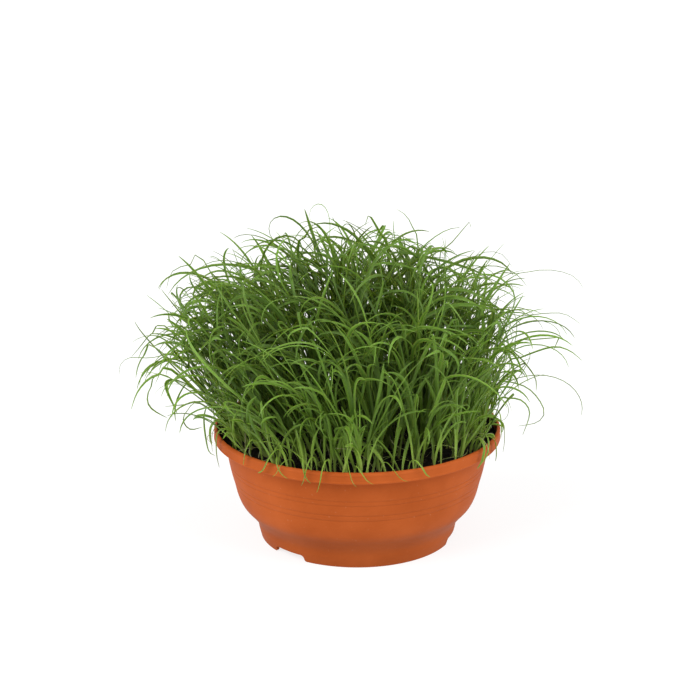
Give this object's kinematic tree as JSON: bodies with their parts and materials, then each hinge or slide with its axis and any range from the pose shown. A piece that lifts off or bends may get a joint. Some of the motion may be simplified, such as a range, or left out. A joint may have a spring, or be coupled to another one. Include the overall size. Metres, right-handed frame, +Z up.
{
  "type": "potted cat grass",
  "caption": "Round moulded bowl planter with a rim band and arched foot, filled with soil and a dense dome of arching grass tufts.",
  "frame": {"origin": "middle of the pot's underside, on the pot's axis, in the plane it stands on", "axes": "+Z up along the pot's axis, +X to the right and -Y to the front as the plant is seen from its front"},
  "size_m": [0.3602, 0.2821, 0.2614],
  "materials": {
    "terracotta_plastic": "satin",
    "peat_soil": "matte",
    "grass_leaf": "satin"
  },
  "bodies": {
    "root": {"pot": "terracotta_plastic", "soil": "peat_soil", "tuft_01": "grass_leaf", "tuft_02": "grass_leaf", "tuft_03": "grass_leaf", "tuft_04": "grass_leaf", "tuft_05": "grass_leaf", "tuft_06": "grass_leaf", "tuft_07": "grass_leaf", "tuft_08": "grass_leaf", "tuft_09": "grass_leaf", "tuft_10": "grass_leaf", "tuft_11": "grass_leaf", "tuft_12": "grass_leaf", "tuft_13": "grass_leaf", "tuft_14": "grass_leaf", "tuft_15": "grass_leaf", "tuft_16": "grass_leaf", "tuft_17": "grass_leaf", "tuft_18": "grass_leaf", "tuft_19": "grass_leaf", "tuft_20": "grass_leaf", "tuft_21": "grass_leaf", "tuft_22": "grass_leaf", "tuft_23": "grass_leaf", "tuft_24": "grass_leaf", "tuft_25": "grass_leaf", "tuft_26": "grass_leaf", "tuft_27": "grass_leaf", "tuft_28": "grass_leaf", "tuft_29": "grass_leaf", "tuft_30": "grass_leaf", "tuft_31": "grass_leaf", "tuft_32": "grass_leaf", "tuft_33": "grass_leaf", "tuft_34": "grass_leaf", "tuft_35": "grass_leaf", "tuft_36": "grass_leaf", "tuft_37": "grass_leaf", "tuft_38": "grass_leaf", "tuft_39": "grass_leaf", "tuft_40": "grass_leaf"}
  },
  "joints": []
}
